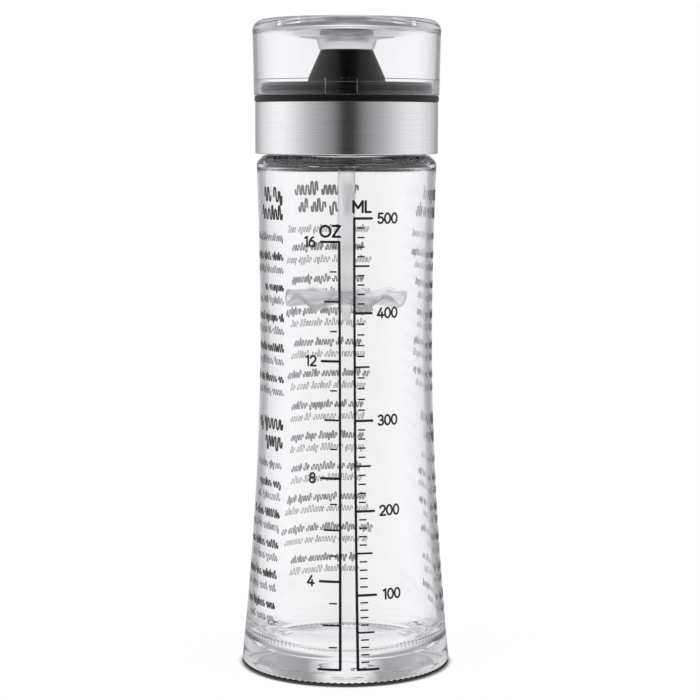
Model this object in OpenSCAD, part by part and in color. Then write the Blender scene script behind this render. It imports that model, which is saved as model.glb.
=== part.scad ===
// Salad dressing shaker: a waisted glass bottle, a screw cap with a pour spout,
// a clear push-on lid and a mixer that hangs from the cap.
// Origin at the middle of the base, +Z up, front towards -Y.

/* [Glass bottle] */
// Outside diameter the flared wall reaches at the base
base_d = 79.3; // [74:0.1:84]
// Outside diameter at the waist
waist_d = 64.7; // [60:0.1:66]
// Outside diameter just under the shoulder
shoulder_d = 67.3; // [66.5:0.1:72]
// Height of the waist
waist_z = 126; // [110:1:140]
// Height of the flat shoulder under the cap
shoulder_z = 192.1; // [180:0.1:215]
// How late the flare starts below the waist, 1 is a straight cone
flare_power = 1.8; // [1.4:0.1:2.4]
// Thickness of the glass wall
glass_wall = 3; // [2:0.1:3.6]
// Thickness of the glass floor
floor_t = 5.4; // [4:0.1:8]
// Radius of the rounded heel
heel_round = 1.6; // [1:0.1:4]
// Radius of the rounded shoulder edge
shoulder_round = 4.2; // [2.5:0.1:5]
// Diameter of the hollow under the base
push_up_d = 56; // [40:1:62]
// Height of the hollow under the base
push_up_h = 4; // [2:0.1:5]

/* [Neck] */
// Bore of the neck
mouth_d = 51.4; // [50:0.1:53]
// Thickness of the neck wall without its thread
neck_wall = 4; // [3:0.1:5]
// Height of the neck above the shoulder
neck_h = 17.5; // [14:0.1:20]
// Height the thread stands out of the neck
thread_h = 1.4; // [1:0.1:1.6]
// Thickness of the sealing ring on the lip
gasket_t = 1.2; // [0.8:0.1:2]

/* [Cap] */
// Play between the neck's thread crest and the cap's bore
thread_gap = 0.2; // [0.15:0.05:0.4]
// Thickness of the threaded skirt
skirt_wall = 2.3; // [1.5:0.1:3]
// Thickness of the steel sleeve round the skirt
collar_t = 0.5; // [0.3:0.05:0.8]
// Gap between the glass shoulder and the steel sleeve
collar_gap = 0.4; // [0.3:0.1:2]
// Thickness of the deck from the sealing ring to the top of the flange
deck_t = 3.35; // [3:0.05:5]
// Height of the flange above the steel sleeve
flange_t = 2.55; // [2:0.05:2.8]
// How far the flange stands out past the steel sleeve
flange_out = 0.25; // [0.1:0.05:0.8]
// Height of the spigot that the lid pushes onto
spigot_h = 4.65; // [4.4:0.05:9]
// Step from the flange's edge in to the spigot
spigot_step = 2.5; // [2.2:0.1:4]
// Thickness of the plate on top of the spigot
top_plate_t = 2.2; // [1.8:0.1:3]

/* [Pour spout] */
// Height of the spout above the spigot
spout_h = 12.1; // [8:0.1:16]
// Diameter at the foot of the spout
spout_foot_d = 29.8; // [28:0.1:32]
// Diameter of the spout's flat top
spout_top_d = 19.4; // [16:0.1:22]
// Diameter of the pour hole
pour_d = 10.4; // [7:0.1:12]
// Diameter of the spout's sleeve where it snaps into the cap
sleeve_d = 26; // [20:0.1:26.4]
// Thickness of the spout's wall
spout_wall = 1.7; // [1.2:0.1:2]

/* [Clear lid] */
// How far the lid's foot stands out past the flange
lid_out = 0.2; // [0:0.05:0.6]
// How much wider the lid is at its top than at its foot, on the radius
lid_draft = 0.5; // [0:0.05:1]
// Thickness of the lid's wall above its foot band
lid_wall = 1.5; // [1.2:0.1:2]
// Height of the thicker band at the lid's foot
band_h = 5.8; // [5.2:0.05:9.5]
// Play between the spigot and the lid's foot band
lid_gap = 0.35; // [0.3:0.05:0.5]
// Thickness of the lid's top at its edge
lid_edge_t = 4.1; // [3:0.1:5]
// Thickness of the lid's top over the soft plug, below the dome
lid_mid_t = 4.9; // [3.4:0.1:6.4]
// Rise of the domed top above its edge
dome_h = 1.4; // [0.5:0.1:3]
// Radius of the lid's rounded top edge
lid_round = 4.4; // [3:0.1:5]
// Height of the soft plug's neck between the spout and the plug's disc
plug_h = 3.75; // [3:0.05:6]
// Diameter of the plug's disc, set into the lid's ceiling
plug_disc_d = 35.4; // [28:0.2:38]
// Thickness of the plug's disc at its middle
plug_disc_t = 2.65; // [2:0.05:3.6]
// Width of the locating key between the spigot and the lid
key_w = 10.6; // [6:0.1:14]
// Thickness of the friction ring round the spigot
o_ring_t = 1.9; // [1.5:0.1:2]

/* [Mixer] */
// Diameter of the mixer's rod
rod_d = 6.5; // [5:0.1:7.5]
// Length of the rod from its socket to the disc
rod_l = 74.2; // [40:0.1:110]
// Depth of the rod's socket in the cap
socket_l = 6.7; // [5:0.1:7]
// Diameter of the wavy disc
disc_d = 46; // [36:0.5:49]
// Thickness of the wavy disc
disc_t = 2.2; // [1.6:0.1:3]
// Number of waves round the disc
wave_count = 8; // [5:1:10]
// Height of the waves from their middle to their crest at the rim
wave_h = 1.9; // [0.5:0.1:3]
// Height of the disc's hub
hub_h = 4.4; // [3:0.1:7]
// Diameter of the rod's tip where it passes through the disc
tip_d = 5; // [3.6:0.1:5]
// Length of the tip below the hub
tip_l = 6.6; // [3:0.1:10]

/* [Hidden] */

// Clearances that mating pieces share
press_gap = 0.05;
slide_gap = 0.05;
soft_gap = 0.3;

// Steps in each curve
round_steps = 5;
wall_steps = 26;
dome_steps = 8;
turn_steps = 96;

// Heights of the stack, from the glass up
lip_z = shoulder_z + neck_h;
deck_z = lip_z + gasket_t;
flange_z = deck_z + deck_t;
collar_top_z = flange_z - flange_t;
collar_z = shoulder_z + collar_gap;
spigot_z = flange_z + spigot_h;
spout_z = spigot_z + spout_h;
ceiling_z = spout_z + plug_h + plug_disc_t;
lid_edge_z = ceiling_z + lid_mid_t;
ledge_z = flange_z + band_h;

// Radii of the stack, from the neck out
mouth_r = mouth_d / 2;
neck_r = mouth_r + neck_wall;
crest_r = neck_r + thread_h;
cap_bore_r = crest_r + thread_gap;
skirt_r = cap_bore_r + skirt_wall;
collar_r = skirt_r + press_gap + collar_t;
flange_r = collar_r + flange_out;
spigot_r = flange_r - spigot_step;
band_r = spigot_r + lid_gap;
lid_foot_r = flange_r + lid_out;
lid_top_r = lid_foot_r + lid_draft;
lid_inner_r = lid_foot_r - lid_wall;

// The shoulder's round edge ends where the neck begins
edge_round = min(shoulder_round, shoulder_d / 2 - neck_r);

// Points along a round corner, between two angles
function arc(x, y, r, from, to) = [
    for (i = [0 : round_steps])
        let (a = from + (to - from) * i / round_steps)
        [x + r * cos(a), y + r * sin(a)]
];

// Outside radius of the glass at a height: a power curve below the waist, a parabola above it
function glass_r(z) =
    z < waist_z
    ? waist_d / 2 + (base_d - waist_d) / 2 * pow((waist_z - z) / waist_z, flare_power)
    : waist_d / 2 + (shoulder_d - waist_d) / 2 * pow((z - waist_z) / (shoulder_z - edge_round - waist_z), 2);

// Points up or down the glass wall, set in from its outside
function glass_side(low, high, inset) = [
    for (i = [0 : wall_steps])
        let (z = low + (high - low) * i / wall_steps)
        [glass_r(z) - inset, z]
];

// Points of a shallow dome from its edge to its middle, or back
function dome(r, z, rise, from, to) = [
    for (i = [0 : dome_steps])
        let (s = from + (to - from) * i / dome_steps)
        [r * s, z + rise * (1 - s * s)]
];

// Glass bottle
inner_heel = 7;
inner_shoulder = 3;
lip_round = 1;
mouth_round = 2;
module glass_bottle() {
    push_r = push_up_d / 2;
    heel_r = glass_r(heel_round);
    inner_heel_z = floor_t + inner_heel;
    inner_heel_r = glass_r(inner_heel_z) - glass_wall;
    inner_top_z = shoulder_z - glass_wall;
    inner_top_r = glass_r(inner_top_z - inner_shoulder) - glass_wall;
    shoulder_r = shoulder_d / 2;
    color([0.85, 0.9, 0.9, 0.35])
    rotate_extrude($fn = turn_steps)
    polygon(concat(
        dome(push_r, 0, push_up_h, 0, 1),
        arc(heel_r - heel_round, heel_round, heel_round, -90, 0),
        glass_side(heel_round + 1, shoulder_z - edge_round, 0),
        arc(shoulder_r - edge_round, shoulder_z - edge_round, edge_round, 15, 90),
        [[neck_r, shoulder_z]],
        arc(neck_r - lip_round, lip_z - lip_round, lip_round, 0, 90),
        arc(mouth_r + lip_round, lip_z - lip_round, lip_round, 90, 180),
        arc(mouth_r + mouth_round, inner_top_z + mouth_round, mouth_round, 180, 255),
        arc(inner_top_r - inner_shoulder, inner_top_z - inner_shoulder, inner_shoulder, 90, 0),
        glass_side(inner_top_z - inner_shoulder - 1, inner_heel_z + 1, glass_wall),
        arc(inner_heel_r - inner_heel, inner_heel_z, inner_heel, 0, -90),
        dome(inner_heel_r - inner_heel - 0.5, floor_t, push_up_h, 1, 0)
    ));
}

// Soft sealing ring that lies on the lip
module neck_gasket() {
    color([0.92, 0.92, 0.9])
    translate([0, 0, lip_z])
    difference() {
        cylinder(h = gasket_t, r = cap_bore_r - soft_gap, $fn = turn_steps);
        translate([0, 0, -1])
            cylinder(h = gasket_t + 2, r = mouth_r + slide_gap, $fn = turn_steps);
    }
}

// Locating key on the spigot, and the pocket for it in the lid
key_h = 1.2;
key_out = 0.6;
key_turn = -3.3;
module key_block(w, h, r) {
    rotate([0, 0, key_turn])
    translate([-w / 2, -r - 1, 0])
    cube([w, r - mouth_r + 1, h]);
}

// Screw cap: threaded skirt, deck, flange and the spigot that the lid pushes onto
holder_wall = 2.2;
holder_h = 2.6;
flange_round = 0.7;
spigot_round = 0.6;
skirt_recess = 0.55;
o_ring_z = spigot_z - 2.3;
o_ring_r = band_r - slide_gap - o_ring_t / 2;
groove_gap = 0.1;
throat_r = mouth_r - soft_gap;
holder_top_z = deck_z + holder_h + 0.4;
sleeve_r = sleeve_d / 2;
foot_r = spout_foot_d / 2;
spout_gasket_t = 0.8;
module screw_cap() {
    step_r = throat_r - 1.2;
    hole_r = sleeve_r + press_gap;
    groove_r = o_ring_r - o_ring_t / 2 - groove_gap;
    groove_half = o_ring_t / 2 + groove_gap;
    color([0.07, 0.07, 0.07])
    union() {
        rotate_extrude($fn = turn_steps)
        polygon(concat(
            [
                [cap_bore_r, collar_z + skirt_recess],
                [skirt_r, collar_z + skirt_recess],
                [skirt_r, collar_top_z]
            ],
            arc(flange_r - flange_round, collar_top_z + flange_round, flange_round, -90, 0),
            arc(flange_r - flange_round, flange_z - flange_round, flange_round, 0, 90),
            [
                [spigot_r, flange_z],
                [spigot_r, o_ring_z - groove_half],
                [groove_r, o_ring_z - groove_half],
                [groove_r, o_ring_z + groove_half],
                [spigot_r, o_ring_z + groove_half]
            ],
            arc(spigot_r - spigot_round, spigot_z - spigot_round, spigot_round, 0, 90),
            [
                [foot_r, spigot_z],
                [foot_r, spigot_z - spout_gasket_t],
                [hole_r, spigot_z - spout_gasket_t],
                [hole_r, spigot_z - top_plate_t],
                [step_r, spigot_z - top_plate_t],
                [step_r, holder_top_z],
                [throat_r, holder_top_z],
                [throat_r, deck_z],
                [cap_bore_r, deck_z]
            ]
        ));
        intersection() {
            translate([0, 0, flange_z])
                key_block(key_w, key_h, spigot_r + key_out);
            cylinder(h = spigot_z, r = spigot_r + key_out, $fn = turn_steps);
        }
    }
}

// Brushed sleeve pressed over the skirt, its foot turned in under it
collar_turn_in = 1.1;
module steel_collar() {
    inner_r = collar_r - collar_t;
    color([0.75, 0.75, 0.77])
    rotate_extrude($fn = turn_steps)
    polygon(concat(
        [
            [inner_r - collar_turn_in, collar_z + collar_t],
            [inner_r - collar_turn_in, collar_z]
        ],
        arc(collar_r - collar_t, collar_z + collar_t, collar_t, -90, 0),
        [
            [collar_r, collar_top_z],
            [inner_r, collar_top_z],
            [inner_r, collar_z + collar_t]
        ]
    ));
}

// Pour spout: a hollow cone with a flange, snapped into the cap's top plate
spout_flange_t = 0.7;
snap_out = 0.4;
snap_gap = 0.05;
spout_rim = 0.5;
module spout_cone() {
    top_r = spout_top_d / 2;
    sleeve_in_r = sleeve_r - spout_wall;
    snap_z = spigot_z - top_plate_t - snap_gap;
    slope = (foot_r - top_r) / (spout_h - spout_flange_t);
    lean = atan(slope);
    color([0.08, 0.08, 0.08])
    rotate_extrude($fn = turn_steps)
    polygon(concat(
        [
            [sleeve_in_r, snap_z - 1.2],
            [sleeve_r, snap_z - 1.2],
            [sleeve_r + snap_out, snap_z],
            [sleeve_r, snap_z],
            [sleeve_r, spigot_z],
            [foot_r + 0.05, spigot_z],
            [foot_r + 0.05, spigot_z + spout_flange_t],
            [foot_r - 0.1, spigot_z + spout_flange_t]
        ],
        arc(top_r - spout_rim + 0.2, spout_z - spout_rim, spout_rim, lean, 90),
        arc(pour_d / 2 + spout_rim, spout_z - spout_rim, spout_rim, 90, 180),
        [
            [pour_d / 2, spout_z - spout_wall],
            [top_r - spout_wall, spout_z - spout_wall],
            [sleeve_in_r, spigot_z + spout_flange_t]
        ]
    ));
}

// Flat seal under the spout's flange
module spout_gasket() {
    color([0.92, 0.92, 0.9])
    translate([0, 0, spigot_z - spout_gasket_t])
    difference() {
        cylinder(h = spout_gasket_t, r = foot_r - press_gap, $fn = turn_steps);
        translate([0, 0, -1])
            cylinder(h = spout_gasket_t + 2, r = sleeve_r + press_gap, $fn = turn_steps);
    }
}

// Friction ring in the spigot's groove
module lid_o_ring() {
    color([0.15, 0.15, 0.15])
    translate([0, 0, o_ring_z])
    rotate_extrude($fn = turn_steps)
    translate([o_ring_r, 0])
    circle(d = o_ring_t, $fn = 24);
}

// Open spider pressed into the cap's throat, with the socket for the rod
arm_count = 3;
arm_w = 3;
socket_wall = 2.3;
socket_top_t = 1;
rod_r = rod_d / 2;
socket_top_z = spigot_z - top_plate_t - 1.5;
module rod_holder() {
    ring_r = throat_r - press_gap;
    hub_r = rod_r + slide_gap + socket_wall;
    ring_z = holder_top_z - holder_h;
    color([0.12, 0.12, 0.12])
    difference() {
        union() {
            difference() {
                translate([0, 0, ring_z])
                    cylinder(h = holder_h, r = ring_r, $fn = turn_steps);
                translate([0, 0, ring_z - 1])
                    cylinder(h = holder_h + 2, r = ring_r - holder_wall, $fn = turn_steps);
            }
            for (i = [0 : arm_count - 1])
                rotate([0, 0, 180 + i * 360 / arm_count])
                translate([0, -arm_w / 2, ring_z])
                cube([ring_r - holder_wall / 2, arm_w, holder_h]);
            translate([0, 0, socket_top_z - socket_l])
                cylinder(h = socket_l + socket_top_t, r = hub_r, $fn = turn_steps);
        }
        translate([0, 0, socket_top_z - socket_l - 1])
            cylinder(h = socket_l + 1, r = rod_r + slide_gap, $fn = turn_steps);
    }
}

// Clear lid: foot band, wall, and a domed top with a recess and a boss for the plug's disc.
// Its ceiling slopes down to a rounded rim that holds the disc in the recess
boss_d = 14;
boss_h = 3.4;
plug_top_d = 22.4;
plug_foot_d = 20.6;
disc_rim_t = 1.85;
recess_lip = 0.4;
module clear_lid() {
    ceiling_edge_z = lid_edge_z - lid_edge_t;
    inner_top_r = lid_top_r - lid_wall;
    ceiling_round = 1.6;
    recess_r = plug_disc_d / 2 + press_gap;
    lip_edge_z = ceiling_z - disc_rim_t;
    color([0.9, 0.93, 0.95, 0.3])
    difference() {
        rotate_extrude($fn = turn_steps)
        polygon(concat(
            [
                [band_r, flange_z],
                [lid_foot_r, flange_z],
                [lid_top_r, lid_edge_z - lid_round]
            ],
            arc(lid_top_r - lid_round, lid_edge_z - lid_round, lid_round, 12, 84),
            dome(lid_top_r - lid_round - 0.8, lid_edge_z, dome_h, 1, 0),
            [
                [0, ceiling_z - boss_h],
                [boss_d / 2, ceiling_z - boss_h],
                [boss_d / 2, ceiling_z],
                [recess_r, ceiling_z]
            ],
            arc(recess_r + recess_lip, lip_edge_z + recess_lip, recess_lip, 180, 280),
            arc(inner_top_r - ceiling_round, ceiling_edge_z - ceiling_round, ceiling_round, 90, 0),
            [
                [lid_inner_r, ledge_z],
                [band_r, ledge_z]
            ]
        ));
        intersection() {
            translate([0, 0, flange_z - 1])
                key_block(key_w + 2 * soft_gap, band_h + 1, spigot_r + key_out + soft_gap);
            cylinder(h = ledge_z, r = spigot_r + key_out + soft_gap, $fn = turn_steps);
        }
    }
}

// Soft plug: its disc sits in the lid's recess, its face seals the spout's rim, its stem the hole
stem_l = 2.4;
stem_taper = 0.6;
module spout_plug() {
    boss_r = boss_d / 2 + press_gap;
    stem_r = pour_d / 2 - soft_gap;
    color([0.8, 0.8, 0.8, 0.7])
    rotate_extrude($fn = turn_steps)
    polygon([
        [0, spout_z - stem_l],
        [stem_r - stem_taper, spout_z - stem_l],
        [stem_r, spout_z - stem_taper],
        [stem_r, spout_z],
        [plug_foot_d / 2, spout_z],
        [plug_top_d / 2, spout_z + plug_h],
        [plug_disc_d / 2 - 0.2, ceiling_z - disc_rim_t],
        [plug_disc_d / 2, ceiling_z - disc_rim_t + 0.2],
        [plug_disc_d / 2, ceiling_z],
        [boss_r, ceiling_z],
        [boss_r, ceiling_z - boss_h - press_gap],
        [0, ceiling_z - boss_h - press_gap]
    ]);
}

// Rod of the mixer: from its socket down to a shoulder, then a tapered tip
tip_end_d = 2.5;
rod_top_gap = 0.1;
rod_top_z = socket_top_z - rod_top_gap;
rod_foot_z = rod_top_z - rod_l;
tip_z = rod_foot_z - hub_h - tip_l;
module mixer_rod() {
    tip_r = tip_d / 2;
    rod_chamfer = 0.5;
    color([0.82, 0.83, 0.85, 0.8])
    rotate_extrude($fn = 48)
    polygon(concat(
        [
            [0, tip_z]
        ],
        arc(tip_end_d / 2 - 0.4, tip_z + 0.4, 0.4, -90, 0),
        [
            [tip_r, rod_foot_z - hub_h],
            [tip_r, rod_foot_z],
            [rod_r, rod_foot_z],
            [rod_r, rod_top_z - rod_chamfer],
            [rod_r - rod_chamfer, rod_top_z],
            [0, rod_top_z]
        ]
    ));
}

// Wavy mixing disc: a closed section carried round the rod while its rim rises and falls
hub_wall = 2.3;
wave_turn = 16;
wave_stations = 8;
disc_rings = 5;
disc_mid_z = rod_foot_z - hub_h / 2;
web_r = tip_d / 2 + hub_wall / 2;
rim_r = disc_d / 2;

// Height of the disc's middle surface at a radius and an angle from the front
function wave_z(r, a) = -wave_h * (r - web_r) / (rim_r - web_r) * cos(wave_count * (a - wave_turn));

// Closed section of the disc at one angle, out along its top and back along its bottom
function disc_section(a) = concat(
    [for (i = [0 : disc_rings]) let (r = web_r + (rim_r - disc_t / 2 - web_r) * i / disc_rings)
        [r, wave_z(r, a) + disc_t / 2]],
    [[rim_r, wave_z(rim_r, a)]],
    [for (i = [disc_rings : -1 : 0]) let (r = web_r + (rim_r - disc_t / 2 - web_r) * i / disc_rings)
        [r, wave_z(r, a) - disc_t / 2]]
);

module wavy_web() {
    stations = wave_count * wave_stations;
    ring = 2 * disc_rings + 3;
    points = [
        for (j = [0 : stations - 1])
            let (a = j * 360 / stations)
            for (p = disc_section(a))
                [p[0] * sin(a), -p[0] * cos(a), disc_mid_z + p[1]]
    ];
    faces = [
        for (j = [0 : stations - 1])
            for (i = [0 : ring - 1])
                let (
                    a = j * ring + i,
                    b = j * ring + (i + 1) % ring,
                    c = ((j + 1) % stations) * ring + (i + 1) % ring,
                    d = ((j + 1) % stations) * ring + i
                )
                for (f = [[a, c, b], [a, d, c]])
                    f
    ];
    polyhedron(points = points, faces = faces);
}

module mixer_disc() {
    color([0.82, 0.83, 0.85, 0.8])
    difference() {
        union() {
            wavy_web();
            translate([0, 0, rod_foot_z - hub_h])
                cylinder(h = hub_h, r = tip_d / 2 + hub_wall, $fn = 48);
        }
        translate([0, 0, rod_foot_z - hub_h - 1])
            cylinder(h = hub_h + 2, r = tip_d / 2 + press_gap, $fn = 48);
    }
}

glass_bottle();
neck_gasket();
screw_cap();
steel_collar();
spout_cone();
spout_gasket();
lid_o_ring();
rod_holder();
clear_lid();
spout_plug();
mixer_rod();
mixer_disc();
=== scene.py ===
# %% [markdown]
# # A salad dressing shaker, dressed for the camera
#
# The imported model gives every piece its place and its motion. This notebook gives each piece its
# finish: clear glass with a printed scale, a brushed steel collar, satin black plastic, a clear lid
# and a frosted mixer. Every shape is a surface worked out with numpy and carried by the body that
# the real piece belongs to, so it moves with the joints.

# %% Load the frame
import bpy
import math
import numpy as np
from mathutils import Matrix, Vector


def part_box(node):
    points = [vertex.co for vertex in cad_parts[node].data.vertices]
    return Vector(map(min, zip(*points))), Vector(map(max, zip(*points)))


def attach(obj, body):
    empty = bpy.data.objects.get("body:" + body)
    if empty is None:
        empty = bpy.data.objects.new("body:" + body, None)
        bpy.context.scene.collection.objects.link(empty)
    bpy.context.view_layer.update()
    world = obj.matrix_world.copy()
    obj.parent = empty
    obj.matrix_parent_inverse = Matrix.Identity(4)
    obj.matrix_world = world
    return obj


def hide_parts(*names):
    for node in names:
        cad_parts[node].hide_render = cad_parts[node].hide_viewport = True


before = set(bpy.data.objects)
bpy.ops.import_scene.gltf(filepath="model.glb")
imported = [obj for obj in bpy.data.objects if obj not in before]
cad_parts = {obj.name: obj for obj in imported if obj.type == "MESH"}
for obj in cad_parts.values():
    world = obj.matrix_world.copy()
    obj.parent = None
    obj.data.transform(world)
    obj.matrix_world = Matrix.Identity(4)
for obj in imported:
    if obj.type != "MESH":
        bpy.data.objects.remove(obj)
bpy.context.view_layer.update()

MM = 0.001

# %% [markdown]
# ## The sizes everything else follows
#
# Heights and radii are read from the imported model's own boxes, so the looks can't drift away from
# the solids. Only sizes that a box can't tell, such as the height of the waist or a wall
# thickness, are written down here, as millimetres times MM.

# %% Heights and radii from the frame
def top(node):
    """Height of a node's highest point, in metres."""
    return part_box(node)[1][2]


def foot(node):
    """Height of a node's lowest point, in metres."""
    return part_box(node)[0][2]


def reach(node):
    """Half of a node's width across X: the largest radius of a round piece."""
    return (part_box(node)[1][0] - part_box(node)[0][0]) / 2


LIP_Z = top("glass_bottle")
COLLAR_Z = foot("steel_collar")
COLLAR_TOP_Z = top("steel_collar")
COLLAR_R = reach("steel_collar")
FLANGE_Z = foot("clear_lid")
FLANGE_R = reach("screw_cap")
DECK_Z = top("neck_gasket")
SPIGOT_Z = top("screw_cap")
SPOUT_Z = top("spout_cone")
SPOUT_FOOT_R = reach("spout_cone")
CEILING_Z = top("spout_plug")
LID_TOP_Z = top("clear_lid")
LID_TOP_R = reach("clear_lid")
ROD_R = reach("mixer_rod")
DISC_R = reach("mixer_disc")
print(f"lip {LIP_Z:.4f}, flange {FLANGE_Z:.4f}, spout {SPOUT_Z:.4f}, lid top {LID_TOP_Z:.4f}")

# %% Glass sizes that a box can't tell
BASE_R = 39.65 * MM
WAIST_R = 32.35 * MM
SHOULDER_R = 33.65 * MM
WAIST_Z = 126 * MM
SHOULDER_Z = 192.1 * MM
EDGE_ROUND = 3.95 * MM
FLARE_POWER = 1.8
GLASS_WALL = 3 * MM
FLOOR_T = 5.4 * MM
HEEL_ROUND = 1.6 * MM
PUSH_UP_R = 28 * MM
PUSH_UP_H = 4 * MM
MOUTH_R = 25.7 * MM
NECK_R = 29.7 * MM
THREAD_H = 1.3 * MM
THREAD_PITCH = 4 * MM

# %% [markdown]
# ## The camera
#
# The photograph looks at the shaker almost level, from the height of its collar, so the lid is seen
# slightly from below and the base from above. A long lens does that without bending the glass. The
# camera's distance, height and tilt were worked out from those curves.

# %% Place the camera
CAMERA_LENS = 105.74
CAMERA_DISTANCE = 772.5 * MM
CAMERA_HEIGHT = 203.2 * MM
CAMERA_ASIDE = 1.45 * MM
CAMERA_PITCH = math.radians(90 - 6.245)
CAMERA_ROLL = math.radians(0.13)

camera_data = bpy.data.cameras.new("camera")
camera_data.lens = CAMERA_LENS
camera_data.sensor_width = 36
camera_data.clip_start = 0.01
camera_data.clip_end = 50
camera = bpy.data.objects.new("camera", camera_data)
bpy.context.collection.objects.link(camera)
camera.location = (CAMERA_ASIDE, -CAMERA_DISTANCE, CAMERA_HEIGHT)
camera.rotation_mode = "ZYX"
camera.rotation_euler = (CAMERA_PITCH, 0, CAMERA_ROLL)
bpy.context.scene.camera = camera
bpy.context.scene.view_settings.view_transform = "Standard"
print("camera at", [round(v, 4) for v in camera.location])

# %% [markdown]
# Light that enters a thick glass base runs along inside it and mirrors off its faces many times
# before it comes out. With few bounces allowed, each such ray ends in black and the base looks
# smoked. More bounces cost almost nothing here, because the bottle is the only glass in the room.

# %% Let light run through thick glass
path_limits = bpy.context.scene.cycles
path_limits.max_bounces = 24
path_limits.glossy_bounces = 16
path_limits.transmission_bounces = 24
print("bounces allowed:", path_limits.max_bounces)

# %% [markdown]
# ## Light and a white room
#
# Glass and metal show little of themselves and much of their room. The room here is white wherever
# the eye, or light bent through the glass, looks straight at it. What mirrors off a surface sees a
# studio instead: a dark gap behind the camera, two wide bright screens at its sides and the white
# backdrop straight ahead. That gap is the dark stripe down the middle of the steel collar. The
# ceiling and the floor are bright too, which draws thin light lines along level edges.

# %% Node helpers
def new_material(name):
    """A material and its node tree, emptied."""
    material = bpy.data.materials.new(name)
    material.use_nodes = True
    tree = material.node_tree
    tree.nodes.clear()
    return material, tree


def feed(tree, socket, value):
    """Sets an input socket to a value, or links another node's output to it."""
    if isinstance(value, bpy.types.NodeSocket):
        tree.links.new(value, socket)
    else:
        socket.default_value = value


def add_node(tree, kind, **sockets):
    """A node of a kind, with its inputs fed by name: underscores stand for spaces."""
    made = tree.nodes.new(kind)
    for name, value in sockets.items():
        feed(tree, made.inputs[name.replace("_", " ")], value)
    return made


def maths(tree, operation, *values):
    """A Math node on one or two inputs, each a number or another node's output."""
    made = tree.nodes.new("ShaderNodeMath")
    made.operation = operation
    for socket, value in zip(made.inputs, values):
        feed(tree, socket, value)
    return made.outputs[0]


def mix_colours(tree, share, first, second):
    """The first colour where the share is 0, the second where it is 1.

    A Mix node holds sockets for every kind of data. 6 and 7 in and 2 out are those for colours.
    """
    made = tree.nodes.new("ShaderNodeMix")
    made.data_type = "RGBA"
    for place, value in ((0, share), (6, first), (7, second)):
        feed(tree, made.inputs[place], value)
    return made.outputs[2]


def mix_shaders(tree, share, first, second):
    """The first shader where the share is 0, the second where it is 1."""
    made = tree.nodes.new("ShaderNodeMixShader")
    for socket, value in zip(made.inputs, (share, first, second)):
        feed(tree, socket, value)
    return made.outputs[0]


def has_mirrored(tree, ray):
    """Yes for light that has already mirrored off a surface, from a Light Path node's outputs."""
    return maths(tree, "GREATER_THAN", ray["Glossy Depth"], 0.5)


def ramp(tree, factor, stops):
    """A colour ramp of greys or colours: stops are (place, value)."""
    made = add_node(tree, "ShaderNodeValToRGB", Fac=factor)
    elements = made.color_ramp.elements
    while len(elements) < len(stops):
        elements.new(0.5)
    for element, (place, value) in zip(elements, stops):
        colour = (value, value, value) if isinstance(value, (int, float)) else value
        element.position = place
        element.color = (*colour, 1)
    return made.outputs["Color"]


# %% The room that light sees
# How strongly the white room lights what stands in it
ROOM_LIGHT = 0.8
# What a mirror sees all round: the heading in degrees, 0 behind the camera and minus to its left,
# and the brightness there
STUDIO = [
    (-180, 1.0), (-172, 0.95), (-164, 0.36), (-150, 0.42), (-130, 0.74), (-104, 1.0), (-82, 1.0),
    (-63, 0.74), (-46, 0.50), (-30, 0.36), (-15, 0.22), (-5, 0.02), (9, 0.015), (16, 0.15),
    (30, 0.32), (46, 0.46), (63, 0.68), (82, 0.88), (104, 0.90), (130, 0.68), (150, 0.38),
    (164, 0.34), (172, 0.95), (180, 1.0)
]
# The screens are a touch cool
STUDIO_TINT = (0.975, 0.965, 1.0)
# How steep the mirrored ray is: from the first height of its direction up, the pale ceiling
# and floor take over, and from the second they are all it sees
CEILING_FROM, CEILING_FULL = 0.86, 0.96
CEILING_COLOUR = (0.92, 0.92, 0.92, 1)

world = bpy.data.worlds.new("room")
world.use_nodes = True
bpy.context.scene.world = world
room = world.node_tree
room.nodes.clear()
ray = room.nodes.new("ShaderNodeLightPath").outputs
direction = room.nodes.new("ShaderNodeTexCoord").outputs["Generated"]
parts = add_node(room, "ShaderNodeSeparateXYZ", Vector=direction).outputs
heading = maths(room, "ARCTAN2", parts["X"], maths(room, "MULTIPLY", parts["Y"], -1))
round_the_room = maths(room, "ADD", maths(room, "DIVIDE", heading, 2 * math.pi), 0.5)
tinted = [(degrees / 360 + 0.5, tuple(tone * c for c in STUDIO_TINT)) for degrees, tone in STUDIO]
walls = ramp(room, round_the_room, tinted)
steep = ramp(room, maths(room, "ABSOLUTE", parts["Z"]), [(CEILING_FROM, 0.0), (CEILING_FULL, 1.0)])
studio = mix_colours(room, steep, walls, CEILING_COLOUR)


def light(strength, colour=(1, 1, 1, 1)):
    """A background light: white, or of a colour that another node gives."""
    return add_node(room, "ShaderNodeBackground", Color=colour, Strength=strength).outputs[0]


shown = mix_shaders(room, ray["Is Transmission Ray"], light(ROOM_LIGHT), light(1.0))
shown = mix_shaders(room, has_mirrored(room, ray), shown, light(1.0, studio))
shown = mix_shaders(room, ray["Is Camera Ray"], shown, light(1.0))
add_node(room, "ShaderNodeOutputWorld", Surface=shown)
print("room built with", len(STUDIO), "studio tones")

# %% [markdown]
# Two soft lamps give the plastic and the frosted pieces some shape. Each is a large area lamp, so
# its shadow has no edge.

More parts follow.
